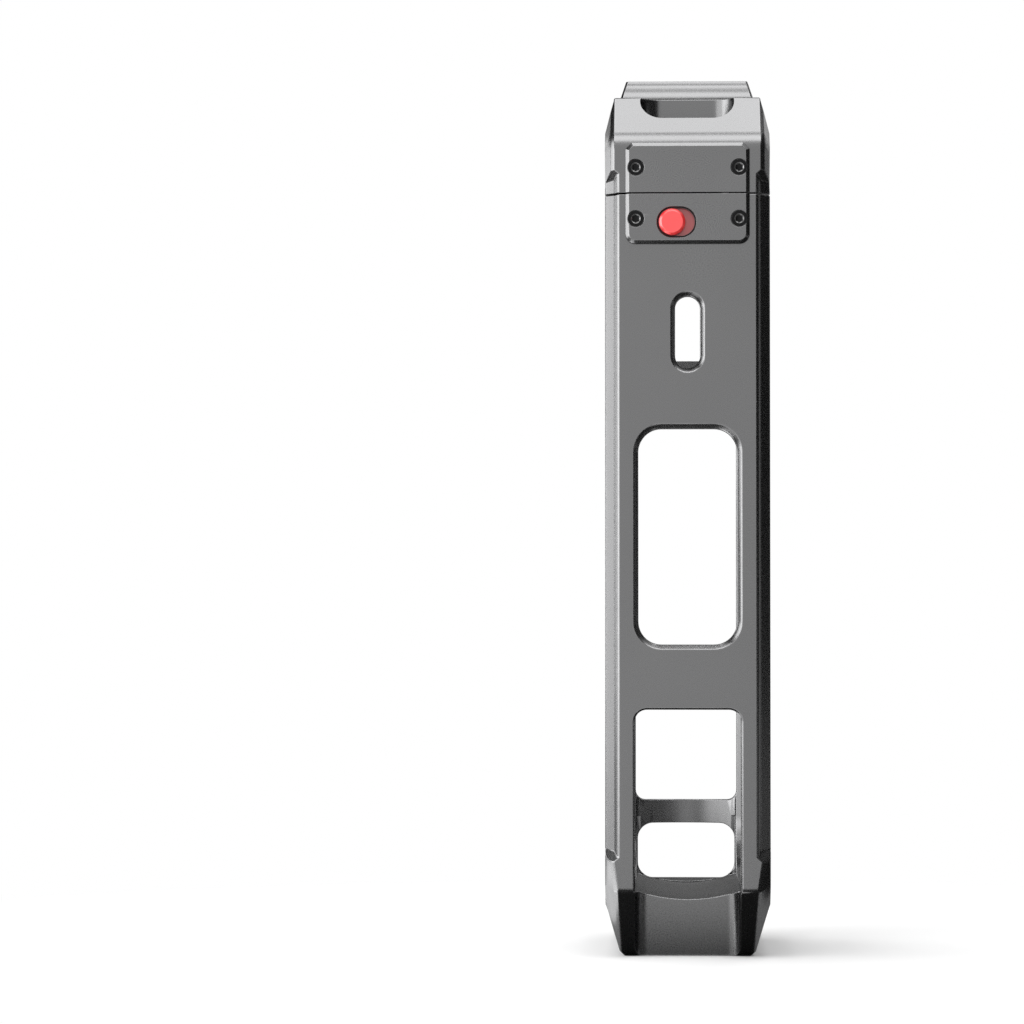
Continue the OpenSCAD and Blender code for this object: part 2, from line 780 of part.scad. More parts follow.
module cap_pad() {
    color("black") translate([0, 0, roof_z - pad_proud]) linear_extrude(pad_t)
        rounded_rect(pad_l, pad_w, pad_r);
}

module plate_sinks(z) {
    for (y = [-1, 1]) translate([hx, y * plate_screw_y, z]) rotate([0, 90, 0]) {
        translate([0, 0, -over]) cylinder(h = plate_t + 2 * over, r = plate_screw_r + screw_fit);
        translate([0, 0, plate_t - plate_sink_deep]) cylinder(h = far, r = plate_sink_r);
    }
}

// Screws with socket heads, seated in the plate's sinks
module plate_screws(z) {
    for (y = [-1, 1]) translate([hx + plate_t - plate_sink_deep, y * plate_screw_y, z])
        rotate([0, 90, 0]) difference() {
            union() {
                cylinder(h = plate_head_h, r = plate_head_r);
                translate([0, 0, plate_sink_deep - plate_t - plate_screw_in + screw_fit])
                    cylinder(h = plate_screw_in + plate_t, r = plate_screw_r);
            }
            translate([0, 0, plate_head_h - plate_hex_deep])
                cylinder(h = far, r = plate_hex_r, $fn = 6);
            translate([0, 0, plate_head_h - plate_mouth_deep]) cylinder(
                h = plate_mouth_deep + over,
                r1 = plate_mouth_r - plate_mouth_deep, r2 = plate_mouth_r + over);
        }
}

// Lower lock plate, with the button's slot and round lower corners
module latch_cover() {
    h = body_top - latch_low;
    color("dimgray") difference() {
        intersection() {
            translate([hx, 0, body_top]) rotate([90, 0, 90]) {
                linear_extrude(plate_t - plate_bevel) rounded_rect(plate_w, 2 * h, latch_r);
                translate([0, 0, plate_t - plate_bevel])
                    frustum(plate_w, 2 * h, latch_r, plate_bevel);
            }
            box([0, far], [-far, far], [0, body_top]);
        }
        translate([hx - over, slot_y, lock_z]) rotate([90, 0, 90]) linear_extrude(far)
            rounded_rect(slot_l, slot_h, slot_h / 2 - slot_flat);
        plate_sinks(part_z - plate_screw_z);
    }
}

module latch_cover_screws() {
    color("black") plate_screws(part_z - plate_screw_z);
}

// Upper lock plate, with cut top corners
module strike_cover() {
    outline = [
        [-plate_y, cap_bottom], [plate_y, cap_bottom],
        [plate_y, strike_high - strike_cut], [plate_y - strike_cut, strike_high],
        [strike_cut - plate_y, strike_high], [-plate_y, strike_high - strike_cut],
    ];
    color("dimgray") difference() {
        translate([hx, 0, 0]) rotate([90, 0, 90]) difference() {
            linear_extrude(plate_t) polygon(outline);
            edge_bevels(outline, [1, 2, 3, 4, 5], plate_t, plate_bevel);
        }
        plate_sinks(part_z + plate_screw_z);
    }
}

module strike_cover_screws() {
    color("black") plate_screws(part_z + plate_screw_z);
}

// Hook that hangs from the cap into the body, under the slider's tooth
module strike_hook() {
    x0 = hx - hook_seat_in;
    color("silver") {
        box([x0, hx - hook_head_under], [-hook_head_y, hook_head_y], moved(part_z, hook_head_z));
        box([x0, x0 + hook_tongue_t], [hook_head_y - hook_stem_w, hook_head_y],
            [lock_z + hook_nose_z[0], part_z + hook_head_z[1]]);
        box([x0, x0 + hook_tongue_t], [hook_nose_y, hook_head_y], moved(lock_z, hook_nose_z));
    }
}

module lock_slider() {
    low = lock_z - channel_h / 2 + slide_gap;
    x = [hx - channel_deep + slide_gap, hx - slide_gap];
    click_top = lock_z - channel_h / 2 - click_room_h + click_rise + click_t;
    color("crimson") difference() {
        union() {
            box(x, slider_y, [low, low + channel_h - 2 * slide_gap]);
            box([hx - tooth_x[0], hx - tooth_x[1]], [slider_y[1] - over, slider_y[1] + tooth_l],
                moved(lock_z, tooth_z));
        }
        for (y = [click_y, click_y - lock_travel])
            translate([hx - far / 2, y, click_top]) rotate([0, 90, 0])
                cylinder(h = far, r = click_bump_r + dimple_gap);
        translate([hx - slide_gap - button_stem_l, button_y, lock_z]) rotate([0, 90, 0])
            cylinder(h = far, r = button_stem_r);
    }
}

module lock_button() {
    x0 = hx - slide_gap;
    color("red") translate([x0, button_y, lock_z]) rotate([0, 90, 0]) {
        cylinder(h = button_out + slide_gap - button_chamfer, r = button_r);
        translate([0, 0, button_out + slide_gap - button_chamfer])
            cylinder(h = button_chamfer, r1 = button_r, r2 = button_r - button_chamfer);
        translate([0, 0, -button_stem_l]) cylinder(h = button_stem_l + over, r = button_stem_r);
    }
}

// Leaf with a bump that the slider's dimples drop over
module click_spring() {
    floor = lock_z - channel_h / 2 - click_room_h;
    crest = floor + click_rise;
    half = click_l / 2;
    color("silver") translate([0, click_y, 0]) x_prism(hx - click_in[1], hx - click_in[0]) {
        polygon([
            [-half, floor], [click_foot - half, floor], [-click_bump_r, crest],
            [click_bump_r, crest], [half - click_foot, floor], [half, floor],
            [half, floor + click_t], [half - click_foot, floor + click_t],
            [click_bump_r, crest + click_t], [-click_bump_r, crest + click_t],
            [click_foot - half, floor + click_t], [-half, floor + click_t],
        ]);
        difference() {
            translate([0, crest + click_t]) circle(click_bump_r);
            translate([0, crest + click_t]) circle(click_bump_r - click_t);
            translate([-half, floor - over]) square([click_l, crest - floor + click_t / 2 + over]);
        }
    }
}

module hinge_pin() {
    color("silver") along_hinge(pin_r, -pin_l / 2, pin_l / 2);
}

// The spring's wire: a stub up in the tab, its turns round the pin, and a leg down to the body
coil_steps = hinge_turns * coil_rings;
coil_y0 = -hinge_turns * coil_pitch / 2;
coil_wire = [
    [coil_r, coil_y0, coil_stub],
    for (i = [0:coil_steps])
        let (a = -360 * i / coil_rings)
            [coil_r * cos(a), coil_y0 + coil_pitch * i / coil_rings, coil_r * sin(a)],
    [coil_r, -coil_y0, -coil_leg],
];
// The least gap between turns, from points that are half a turn or more apart
coil_gap = min([
    for (i = [0:len(coil_wire) - 1], j = [0:len(coil_wire) - 1])
        if (j - i >= coil_rings / 2) norm(coil_wire[j] - coil_wire[i]) - hinge_wire
]);
echo(hinge_spring_least_gap = coil_gap);

function unit(v) = v / norm(v);
function along(p, i) = unit(p[min(i + 1, len(p) - 1)] - p[max(i - 1, 0)]);

module wire_tube(p, r, sides) {
    n = len(p);
    rings = [
        for (i = [0:n - 1], k = [0:sides - 1])
            let (
                t = along(p, i),
                u = unit(cross([0, 1, 0], t)),
                v = cross(t, u),
                a = 360 * k / sides
            )
                p[i] + r * (cos(a) * u + sin(a) * v)
    ];
    walls = [
        for (i = [0:n - 2], k = [0:sides - 1])
            let (a = i * sides + k, b = i * sides + (k + 1) % sides)
                each [[a, a + sides, b], [b, a + sides, b + sides]]
    ];
    ends = [
        for (k = [1:sides - 2]) each [
            [0, k, k + 1],
            [(n - 1) * sides, (n - 1) * sides + k + 1, (n - 1) * sides + k],
        ]
    ];
    polyhedron(points = rings, faces = concat(walls, ends));
}

module hinge_spring() {
    color("silver") translate([hinge_x, 0, hinge_z]) wire_tube(coil_wire, hinge_wire / 2, coil_sides);
}

body_frame();
cap_frame();
top_shoe();
top_shoe_screws();
cap_pad();
strike_cover();
strike_cover_screws();
strike_hook();
latch_cover();
latch_cover_screws();
lock_slider();
lock_button();
click_spring();
hinge_pin();
hinge_spring();
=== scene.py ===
"""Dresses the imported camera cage: fine rounded edges on its milled parts, a thread in the tripod
hole, the wire of the hinge spring, finishes for its metals and its pad, and the studio."""
import json
import math

import bmesh
import bpy
from mathutils import Matrix, Vector
from mathutils.bvhtree import BVHTree


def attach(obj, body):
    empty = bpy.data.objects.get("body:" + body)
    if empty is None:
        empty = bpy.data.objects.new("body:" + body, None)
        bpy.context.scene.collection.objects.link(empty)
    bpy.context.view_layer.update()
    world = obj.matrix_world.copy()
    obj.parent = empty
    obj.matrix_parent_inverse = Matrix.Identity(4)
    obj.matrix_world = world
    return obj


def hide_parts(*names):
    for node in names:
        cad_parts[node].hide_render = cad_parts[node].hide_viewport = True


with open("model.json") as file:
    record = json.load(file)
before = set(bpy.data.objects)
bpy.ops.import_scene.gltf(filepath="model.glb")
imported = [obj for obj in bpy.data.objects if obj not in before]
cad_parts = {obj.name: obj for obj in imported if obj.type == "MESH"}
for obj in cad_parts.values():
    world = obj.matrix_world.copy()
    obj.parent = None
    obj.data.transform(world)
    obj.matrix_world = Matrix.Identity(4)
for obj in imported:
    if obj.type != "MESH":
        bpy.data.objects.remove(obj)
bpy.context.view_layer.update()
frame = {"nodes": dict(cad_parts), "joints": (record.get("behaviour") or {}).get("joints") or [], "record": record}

bl_info = {
    "name": "Camera cage",
    "version": (1, 0, 0),
    "blender": (4, 5, 0),
    "location": "View3D > Sidebar > Camera cage",
    "description": "Dresses a packed camera cage and sets up its studio",
    "category": "Object",
}

MM = 0.001
RECORD = frame["record"]
MIDDLE = Vector((0, 0, 0.064))
SLIDE = next(j for j in frame["joints"] if j["name"] == "lock_slide")
HINGE = next(j for j in frame["joints"] if j["name"] == "cap_hinge")
TRIPOD = next(m for m in RECORD["mounts"] if m["name"] == "tripod_thread")

# The face layer that marks rounded edges, which the materials read to paint them lighter: partly rubbed anodising,
# partly a painted highlight where the chamfers catch the light
EDGE = "edge"
# Points nearer than this are one point
MERGE = 0.001 * MM
# Angles between faces: still one flat face, an edge that is rounded, an edge that stays sharp
FLAT_ANGLE = math.radians(0.6)
CRISP_ANGLE = math.radians(20)
SHARP_ANGLE = math.radians(60)
# How far a face's normal leans to X on the flanks and on the grooves, and the rounds' segments
FLANK_LEAN = (0.15, 0.6)
GROOVE_LEAN = (0.6, 0.95)
FLANK_SEGMENTS = 4
GROOVE_SEGMENTS = 3
# How far the normals of the cones round the screws' sockets lean to X; the materials paint these cones lighter, as
# a painted highlight and partly as rubbing by the key
MOUTH_LEAN = (0.3, 0.95)
# A rounded edge lies no deeper than this share of the bevel's width
MITRE = 0.4
# How far the top shoe stands above the cap, and the shortest edge that is made round
SHOE_RISE = 3.52 * MM
LONG_EDGE = 4 * MM
# The sides of the black ring in the button's slot, a painted shadow of the gap round the button, and its gap to
# the wall behind it
SLOT_SIDES = 64
SHADE_RING_GAP = 0.03 * MM


def colour(name, description, default):
    return bpy.props.FloatVectorProperty(
        name=name, description=description, default=default, subtype="COLOR", size=3, min=0, max=1
    )


def length(name, description, default):
    return bpy.props.FloatProperty(
        name=name, description=description, default=default, min=0, unit="LENGTH", precision=5
    )


def share(name, description, default):
    return bpy.props.FloatProperty(
        name=name, description=description, default=default, min=0, max=1
    )


def brightness(name, description, default):
    return bpy.props.FloatProperty(name=name, description=description, default=default, min=0)


class CageFinish(bpy.types.PropertyGroup):
    """Sizes and colours of the cage's finishes"""
    frame_edge: length("Frame edge", "Width of the bevel on the two milled frames' edges", 0.13 * MM)
    groove_edge: length("Groove edge", "Width of the round along the side grooves", 0.3 * MM)
    flank_edge: length("Flank edge", "Width of the round along the base's and cap's flanks", 0.8 * MM)
    shoe_end: length("Shoe end", "Width of the bevel round the top shoe's two ends", 0.3 * MM)
    small_edge: length("Small edge", "Width of the bevel on the small parts' edges", 0.06 * MM)
    anodised: colour("Anodised grey", "Colour of the anodised frames", (0.185, 0.185, 0.187))
    # Painted highlight and rubbing: the lighter colour of the rounded edges, partly rubbed anodising, partly a
    # painted highlight of the chamfers catching the light
    worn_and_lit: colour("Worn and lit edge", "Colour of the anodising where an edge wears", (0.34, 0.34, 0.345))
    red: colour("Lock red", "Colour of the slide lock", (0.9, 0.02, 0.022))
    # Painted shade: a darker copy of the lock's red for the slide, which sits in the shadow of the slot behind the
    # button
    slide: colour("Shaded slide red", "Duller red of the slide behind the button", (0.36, 0.014, 0.016))
    screw: colour("Screw black", "Colour of the black screws", (0.012, 0.012, 0.0125))
    steel: colour("Steel", "Colour of the pin, hook and springs", (0.42, 0.42, 0.43))
    pad: colour("Pad", "Colour of the soft pad", (0.022, 0.022, 0.023))
    satin: share("Satin", "Roughness of the anodised surface", 0.27)
    glance: share("Glance", "Reflection of the anodised surface seen along it", 0.4)
    grain_size: length("Grain size", "Size of the blasted grain", 0.16 * MM)
    # A thin black ring that paints the shadow of the gap round the button into the slot
    shade_ring_outside: length("Shade ring outside", "Outer radius of the slot liner's ends", 2.27 * MM)
    shade_ring_half: length("Shade ring half", "Half the distance between its ends' centres", 0.64 * MM)
    shade_ring_wall: length("Shade ring wall", "Thickness of the slot liner", 0.225 * MM)
    shade_ring_deep: length("Shade ring depth", "Depth of the slot liner", 0.7 * MM)
    thread_depth: length("Thread depth", "How far the tripod thread is cut into the bore", 0.42 * MM)
    thread_pitch: length("Thread pitch", "Distance between the tripod thread's turns", 1.27 * MM)


class CageStudio(bpy.types.PropertyGroup):
    """The camera, the lamps, the room light and the floor"""
    eye: bpy.props.FloatVectorProperty(
        name="Eye", description="Where the camera stands", size=3, subtype="TRANSLATION",
        default=(0.656, -0.0038, 0.0523), unit="LENGTH", precision=4,
    )
    lens: bpy.props.FloatProperty(
        name="Lens", description="Focal length", default=149.9, min=1, unit="CAMERA"
    )
    swing: bpy.props.FloatProperty(
        name="Swing", description="How far the camera looks left of the cage",
        default=math.radians(2.015), unit="ROTATION",
    )
    tilt: bpy.props.FloatProperty(
        name="Tilt", description="How far the camera looks up",
        default=math.radians(1.255), unit="ROTATION",
    )
    top: brightness("Top light", "Brightness of the soft light above", 3.0)
    front: brightness("Front light", "Brightness of the soft light above the lock side", 3.0)
    side: brightness("Side light", "Brightness of the soft light beside the cage", 3.2)
    fill: brightness("Fill light", "Brightness of the soft light beside the lock side", 1.9)
    rim: brightness("Rim light", "Brightness of the soft light behind the side light", 4.0)
    far: brightness("Far light", "Brightness of the soft light behind the black cards", 1.0)
    low: brightness("Low light", "Brightness of the soft light on the floor", 2.6)
    back: brightness("Back light", "Brightness of the soft light on the hinge side", 0.3)
    room: share("Room light", "Strength of the even light from all round", 0.5)
    floor: colour("Floor", "Colour of the floor", (0.82, 0.82, 0.82))


def wire(tree, source, target):
    tree.links.new(source, target)


def shader_node(tree, kind, inputs=(), **settings):
    made = tree.nodes.new(kind)
    for key, value in settings.items():
        setattr(made, key, value)
    for socket, value in dict(inputs).items():
        if isinstance(value, bpy.types.NodeSocket):
            tree.links.new(value, made.inputs[socket])
        else:
            made.inputs[socket].default_value = value
    return made


def maths(tree, operation, a, b=None, clamp=False):
    made = shader_node(tree, "ShaderNodeMath", operation=operation, use_clamp=clamp)
    for i, value in enumerate((a, b)):
        if isinstance(value, bpy.types.NodeSocket):
            tree.links.new(value, made.inputs[i])
        elif value is not None:
            made.inputs[i].default_value = value
    return made.outputs[0]


def new_group(name, inputs, outputs):
    group = bpy.data.node_groups.new(name, "ShaderNodeTree")
    for label, kind in outputs:
        group.interface.new_socket(label, in_out="OUTPUT", socket_type=kind)
    for label, kind, default in inputs:
        socket = group.interface.new_socket(label, in_out="INPUT", socket_type=kind)
        if default is not None:
            socket.default_value = default
    return group, group.nodes.new("NodeGroupInput"), group.nodes.new("NodeGroupOutput")


def place_group(tree, group, inputs):
    made = tree.nodes.new("ShaderNodeGroup")
    made.node_tree = group
    for socket, value in inputs.items():
        if isinstance(value, bpy.types.NodeSocket):
            tree.links.new(value, made.inputs[socket])
        else:
            made.inputs[socket].default_value = value
    return made


def edge_wear_and_sheen_group():
    """Where an edge is painted lighter, as rubbing and as a painted highlight: the bevelled strips, broken up by a
    noise.
    """
    name = "Edge wear"
    if name in bpy.data.node_groups:
        return bpy.data.node_groups[name]
    group, given, out = new_group(
        name,
        [("Place", "NodeSocketVector", None), ("Amount", "NodeSocketFloat", 0.5),
         ("Patch", "NodeSocketFloat", 400.0)],
        [("Mask", "NodeSocketFloat")],
    )
    strip = shader_node(group, "ShaderNodeAttribute", attribute_name=EDGE)
    patches = shader_node(
        group, "ShaderNodeTexNoise",
        {"Vector": given.outputs["Place"], "Scale": given.outputs["Patch"], "Detail": 3.0},
    )
    broken = maths(group, "MULTIPLY", strip.outputs["Fac"], patches.outputs["Fac"])
    mask = maths(group, "MULTIPLY", broken, given.outputs["Amount"], clamp=True)
    wire(group, mask, out.inputs["Mask"])
    return group


def grain_group():
    """A fine blasted or cast grain: its height, and a value about one half."""
    name = "Fine grain"
    if name in bpy.data.node_groups:
        return bpy.data.node_groups[name]
    group, given, out = new_group(
        name,
        [("Place", "NodeSocketVector", None), ("Scale", "NodeSocketFloat", 6000.0),
         ("Drift", "NodeSocketFloat", 60.0)],
        [("Height", "NodeSocketFloat"), ("Cloud", "NodeSocketFloat")],
    )
    fine = shader_node(
        group, "ShaderNodeTexNoise",
        {"Vector": given.outputs["Place"], "Scale": given.outputs["Scale"], "Detail": 2.0},
    )
    cloud = shader_node(
        group, "ShaderNodeTexNoise",
        {"Vector": given.outputs["Place"], "Scale": given.outputs["Drift"], "Detail": 2.0},
    )
    wire(group, fine.outputs["Fac"], out.inputs["Height"])
    wire(group, cloud.outputs["Fac"], out.inputs["Cloud"])
    return group


def about(tree, value, middle, spread):
    """Turns a noise of 0 to 1 into a value that moves by spread about the middle."""
    made = shader_node(
        tree, "ShaderNodeMapRange",
        {"Value": value, "To Min": middle - spread, "To Max": middle + spread},
    )
    return made.outputs["Result"]


def metal_material(name, tone, worn_and_lit, metallic, roughness, wear_and_sheen, grain, bump, drift=0.05):
    """A metal whose colour drifts a little, with a fine grain and edges painted lighter, partly as rubbing and
    partly as a painted highlight.
    """
    if name in bpy.data.materials:
        return bpy.data.materials[name]
    material = bpy.data.materials.new(name)
    material.use_nodes = True
    tree = material.node_tree
    shader = tree.nodes["Principled BSDF"]
    place = shader_node(tree, "ShaderNodeTexCoord").outputs["Object"]
    rough = place_group(tree, grain_group(), {"Place": place, "Scale": grain})
    edges = place_group(tree, edge_wear_and_sheen_group(), {"Place": place, "Amount": wear_and_sheen})
    low = [c * (1 - drift) for c in tone]
    high = [min(1, c * (1 + drift)) for c in tone]
    base = mix_colour(tree, rough.outputs["Cloud"], low, high)
    # The edge strips lighten towards the second colour: painted highlight, partly rubbing
    topped = mix_colour(tree, edges.outputs["Mask"], base, worn_and_lit)
    wire(tree, topped, shader.inputs["Base Color"])
    wire(tree, about(tree, rough.outputs["Height"], roughness, 0.04), shader.inputs["Roughness"])
    shader.inputs["Metallic"].default_value = metallic
    dimples = shader_node(
        tree, "ShaderNodeBump",
        {"Height": rough.outputs["Height"], "Strength": bump, "Distance": 0.01 * MM},
    )
    wire(tree, dimples.outputs["Normal"], shader.inputs["Normal"])
    return material


def mix_colour(tree, factor, a, b):
    made = tree.nodes.new("ShaderNodeMix")
    made.data_type = "RGBA"
    sockets = [s for s in made.inputs if s.enabled]
    for socket, value in zip(sockets, (factor, a, b)):
        if isinstance(value, bpy.types.NodeSocket):
            tree.links.new(value, socket)
        elif isinstance(value, (int, float)):
            socket.default_value = value
        else:
            socket.default_value = (*value, 1)
    return next(s for s in made.outputs if s.enabled)


def anodised(finish):
    grey = metal_material(
        "anodised_grey", finish.anodised, finish.worn_and_lit, 1.0, finish.satin,
        wear_and_sheen=0.45, grain=1 / finish.grain_size, bump=0.1,
    )
    grey.node_tree.nodes["Principled BSDF"].inputs["Specular Tint"].default_value = (
        finish.glance, finish.glance, finish.glance, 1)
    return grey


def red_metal(finish, name, tone):
    red = metal_material(
        name, tone, (1.0, 0.2, 0.2), 0.3, 0.3,
        wear_and_sheen=0.3, grain=1 / finish.grain_size, bump=0.06,
    )
    red.node_tree.nodes["Principled BSDF"].inputs["IOR"].default_value = 2.4
    return red


def black_screw(finish):
    # The strong lighter colour on the screws' edges and socket cones is mostly a painted highlight, partly rubbing
    return metal_material(
        "black_oxide", finish.screw, (0.24, 0.24, 0.24), 0.9, 0.3,
        wear_and_sheen=1.6, grain=1 / finish.grain_size, bump=0.05,
    )


def plain_steel(finish):
    return metal_material(
        "plain_steel", finish.steel, (0.6, 0.6, 0.61), 1.0, 0.3,
        wear_and_sheen=0.5, grain=1 / finish.grain_size, bump=0.05,
    )


def soft_pad(finish):
    return metal_material(
        "soft_pad", finish.pad, (0.05, 0.05, 0.05), 0.0, 0.85,
        wear_and_sheen=0.6, grain=1 / (2 * finish.grain_size), bump=0.5,
    )


def merged_copy(node):
    """The node's mesh as one closed surface, with flat faces instead of their triangles."""
    bm = bmesh.new()
    bm.from_mesh(frame["nodes"][node].data)
    bmesh.ops.remove_doubles(bm, verts=bm.verts, dist=MERGE)
    bmesh.ops.dissolve_degenerate(bm, dist=2 * MERGE, edges=bm.edges)
    bmesh.ops.dissolve_limit(
        bm, angle_limit=FLAT_ANGLE, use_dissolve_boundaries=False,
        verts=bm.verts, edges=bm.edges, delimit=set(),
    )
    return bm


def round_edges(bm, width):
    """Bevels the crisp edges, marks the new strips, and keeps them within reach of the solid."""
    solid = BVHTree.FromBMesh(bm)
    low = [min(v.co[i] for v in bm.verts) for i in range(3)]
    high = [max(v.co[i] for v in bm.verts) for i in range(3)]
    strips = bm.faces.layers.float.new(EDGE)
    crisp = [
        e for e in bm.edges if len(e.link_faces) == 2 and e.calc_face_angle() > CRISP_ANGLE
    ]
    made = bmesh.ops.bevel(
        bm, geom=crisp, offset=width, offset_type="OFFSET", segments=2, profile=0.5,
        affect="EDGES", clamp_overlap=False, material=-1,
    )
    for face in made["faces"]:
        face[strips] = 1.0
    for vert in bm.verts:
        near, _, _, gap = solid.find_nearest(vert.co)
        if gap > MITRE * width:
            vert.co = near
        vert.co = [min(max(c, a), b) for c, a, b in zip(vert.co, low, high)]


def chamfer(bm, edges, width, segments):
    bmesh.ops.bevel(
        bm, geom=edges, offset=width, offset_type="OFFSET", segments=segments, profile=0.5,
        affect="EDGES", clamp_overlap=False, material=-1,
    )


def outer_edges(bm, lean):
    """Long edges between a front or back face and a flank whose normal leans that much to X."""
    least, most = lean

    def on_outside(edge):
        plain, flank = sorted(edge.link_faces, key=lambda f: abs(f.normal.x))
        outward = flank.normal.x * flank.calc_center_median().x > 0
        return (abs(plain.normal.x) < 0.05 and abs(plain.normal.y) > 0.8 and outward
                and least < abs(flank.normal.x) < most and abs(flank.normal.y) > 0.3)

    return [
        e for e in bm.edges
        if len(e.link_faces) == 2 and e.calc_length() > LONG_EDGE and on_outside(e)
    ]


def brow_edges(bm):
    """The edges between the cap's top and the slopes of its corners."""
    def on_brow(edge):
        slope, top = sorted(edge.link_faces, key=lambda f: f.normal.z)
        return top.normal.z > 0.99 and 0.5 < slope.normal.z < 0.9 and abs(slope.normal.y) < 0.1

    high = max(v.co.z for v in bm.verts) - MERGE
    return [
        e for e in bm.edges
        if len(e.link_faces) == 2 and min(v.co.z for v in e.verts) > high and on_brow(e)
    ]


def round_outside(bm, finish):
    """Makes the outer edges of the flanks, grooves and brows round, before the fine bevels."""
    chamfer(bm, outer_edges(bm, FLANK_LEAN), finish.flank_edge, FLANK_SEGMENTS)
    chamfer(bm, outer_edges(bm, GROOVE_LEAN), finish.groove_edge, GROOVE_SEGMENTS)
    chamfer(bm, brow_edges(bm), finish.groove_edge, GROOVE_SEGMENTS)


def shoe_ends(bm):
    """The edges between the top shoe's two ends and its hollow outer sides."""
    def at_end(edge):
        end, side = sorted(edge.link_faces, key=lambda f: -abs(f.normal.y))
        outward = side.normal.x * side.calc_center_median().x > 0
        return abs(end.normal.y) > 0.8 and abs(side.normal.y) < 0.1 and outward

    high = max(v.co.z for v in bm.verts) - SHOE_RISE
    return [
        e for e in bm.edges
        if len(e.link_faces) == 2 and min(v.co.z for v in e.verts) > high and at_end(e)
    ]


def finish_piece(bm, name, material, body, nodes):
    """Turns the bmesh into a piece, hides its nodes, and parents the piece to their body's empty."""
    for face in bm.faces:
        face.smooth = True
    for edge in bm.edges:
        edge.smooth = len(edge.link_faces) == 2 and edge.calc_face_angle() < SHARP_ANGLE
    mesh = bpy.data.meshes.new(name)
    bm.to_mesh(mesh)
    bm.free()
    piece = bpy.data.objects.new(name, mesh)
    bpy.context.scene.collection.objects.link(piece)
    mesh.materials.append(material)
    weighted = piece.modifiers.new("Weighted normals", "WEIGHTED_NORMAL")
    weighted.keep_sharp = True
    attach(piece, body)
    if nodes:
        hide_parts(*nodes)
    return piece


def body_of(node):
    bodies = RECORD["behaviour"]["bodies"]
    return next(body for body, members in bodies.items() if node in members)


def dressed(node, name, material, width):
    """A node's own shape with rounded edges."""
    bm = merged_copy(node)
    round_edges(bm, width)
    return finish_piece(bm, name, material, body_of(node), [node])


def lit_and_rubbed_mouths(bm):
    """Marks the cones round the sockets as the edges are marked, so they get a painted highlight, partly as
    rubbing by the key.
    """
    strips = bm.faces.layers.float[EDGE]
    least, most = MOUTH_LEAN
    for face in bm.faces:
        if least < face.normal.x < most:
            face[strips] = 1.0


def slot_outline(bm, radius, half):
    """A stadium of edges in the YZ plane: two half circles, moved apart along Y."""
    turn = Matrix.Rotation(math.pi / SLOT_SIDES, 4, "Z")
    stand = Matrix(((0, 0, 1, 0), (1, 0, 0, 0), (0, 1, 0, 0), (0, 0, 0, 1)))
    made = bmesh.ops.create_circle(
        bm, cap_ends=False, radius=radius, segments=SLOT_SIDES, matrix=stand @ turn)
    for vert in made["verts"]:
        vert.co.y += math.copysign(half, vert.co.y)
    return list({e for v in made["verts"] for e in v.link_edges})


def cut_thread(bm, finish):
    """Cuts rings into the tripod bore, half a pitch apart, out past its wall."""
    radius = TRIPOD["dims"]["r_mm"] * MM
    deep = TRIPOD["dims"]["length_mm"] * MM
    near = 0.05 * MM

    def on_wall(face):
        return all(abs(math.hypot(v.co.x, v.co.y) - radius) < near for v in face.verts) and (
            abs(face.normal.z) < 0.5 and face.calc_center_median().z < deep
        )

    step = finish.thread_pitch / 2
    rings = int((deep - step) / step)
    for ring in range(1, rings + 1):
        wall = [f for f in bm.faces if on_wall(f)]
        geometry = wall + list({e for f in wall for e in f.edges}) + list(
            {v for f in wall for v in f.verts})
        bmesh.ops.bisect_plane(
            bm, geom=geometry, dist=MERGE, plane_co=(0, 0, ring * step), plane_no=(0, 0, 1)
        )
    for ring in range(1, rings + 1, 2):
        for vert in bm.verts:
            out = math.hypot(vert.co.x, vert.co.y)
            if abs(out - radius) < near and abs(vert.co.z - ring * step) < MERGE:
                grow = (radius + finish.thread_depth) / out
                vert.co.x *= grow
                vert.co.y *= grow


def wound_spring(radius, wire_radius, pitch, turns, stub, leg):
    """A torsion spring along Y about the hinge axis: a short leg up, its turns and a leg down."""
    sides, steps = 12, 32
    axis = Vector(HINGE["pos_m"])
    start = axis + Vector((radius, -turns * pitch / 2, 0))
    bm = bmesh.new()
    ring = bmesh.ops.create_circle(bm, cap_ends=True, radius=wire_radius, segments=sides)
    bmesh.ops.translate(bm, verts=ring["verts"], vec=start + Vector((0, 0, stub)))
    top = bm.faces[:]
    for face in top:
        if face.normal.z < 0:
            face.normal_flip()
    lowest = bmesh.ops.extrude_face_region(bm, geom=top)
    end = [g for g in lowest["geom"] if isinstance(g, bmesh.types.BMFace)]
    bmesh.ops.translate(bm, verts=list({v for f in end for v in f.verts}), vec=(0, 0, -stub))
    turned = bmesh.ops.spin(
        bm, geom=end, cent=axis + Vector((0, -turns * pitch / 2, 0)), axis=(0, 1, 0),
        dvec=(0, pitch / steps, 0), angle=turns * math.tau, steps=int(turns * steps),
    )
    end = [g for g in turned["geom_last"] if isinstance(g, bmesh.types.BMFace)]
    lowest = bmesh.ops.extrude_face_region(bm, geom=end)
    end = [g for g in lowest["geom"] if isinstance(g, bmesh.types.BMFace)]
    bmesh.ops.translate(bm, verts=list({v for f in end for v in f.verts}), vec=(0, 0, -leg))
    return bm


class PieceOperator:
    """What the operators that make pieces share"""
    bl_options = {"REGISTER", "UNDO"}

    def execute(self, context):
        made = self.make(context.scene.cage_finish)
        if not made or any(not piece.data.polygons for piece in made):
            raise RuntimeError(f"{self.bl_idname} made an empty piece")
        return {"FINISHED"}


